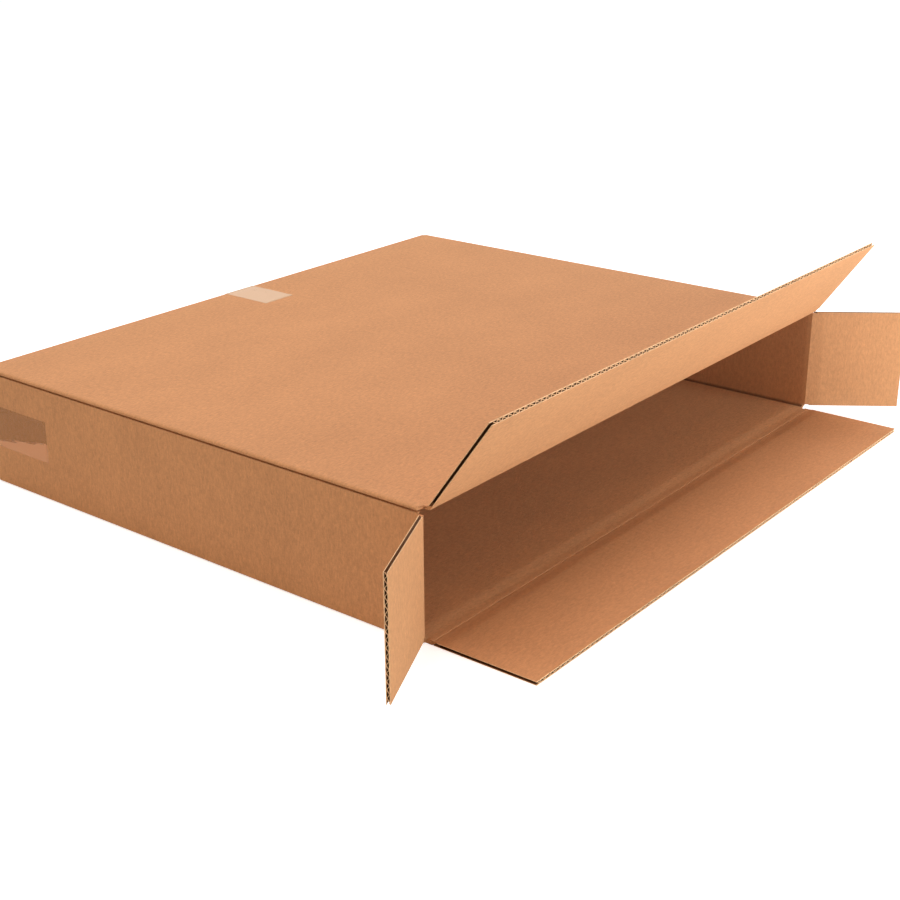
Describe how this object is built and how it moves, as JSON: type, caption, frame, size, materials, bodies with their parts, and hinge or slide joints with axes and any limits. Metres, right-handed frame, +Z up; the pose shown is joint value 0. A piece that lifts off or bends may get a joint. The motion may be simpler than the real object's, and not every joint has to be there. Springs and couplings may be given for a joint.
{
  "type": "side loading corrugated cardboard box",
  "caption": "Shallow corrugated cardboard box lying on its wide face, its long side open with hinged flaps folded out, the rear flaps closed and held by clear tape.",
  "frame": {"origin": "centre of the bottom panel's underside, midway between the left and right faces and between the front and rear creases of the side panels", "axes": "+X to the right along the opening, +Y from the opening to the closed rear, +Z up from the surface the box lies on"},
  "size_m": [0.9398, 0.7495, 0.2282],
  "materials": {
    "kraft_board": "matte unbleached kraft liner with fine fibre grain",
    "clear_tape": "clear glossy film with a slightly milky, wrinkled bond"
  },
  "bodies": {
    "sleeve": {"box_body": "kraft_board", "seam_tape": "clear_tape", "cross_tape": "clear_tape"},
    "top_flap": {"top_flap": "kraft_board"},
    "bottom_flap": {"bottom_flap": "kraft_board"},
    "left_flap": {"left_flap": "kraft_board"},
    "right_flap": {"right_flap": "kraft_board"}
  },
  "joints": [
    {"name": "top_flap_fold", "type": "hinge", "parent": "sleeve", "child": "top_flap", "pos_m": [0, -0.31345, 0.13515], "axis": [-1, 0, 0], "range_deg": [-144.8, 125.2]},
    {"name": "bottom_flap_fold", "type": "hinge", "parent": "sleeve", "child": "bottom_flap", "pos_m": [0, -0.31775, -0.00015], "axis": [1, 0, 0], "range_deg": [-90, 0]},
    {"name": "left_flap_fold", "type": "hinge", "parent": "sleeve", "child": "left_flap", "pos_m": [-0.38515, -0.30915, 0.0675], "axis": [0, 0, -1], "range_deg": [-155.3, 114.7]},
    {"name": "right_flap_fold", "type": "hinge", "parent": "sleeve", "child": "right_flap", "pos_m": [0.38515, -0.30915, 0.0675], "axis": [0, 0, 1], "range_deg": [-125.4, 144.6]}
  ]
}
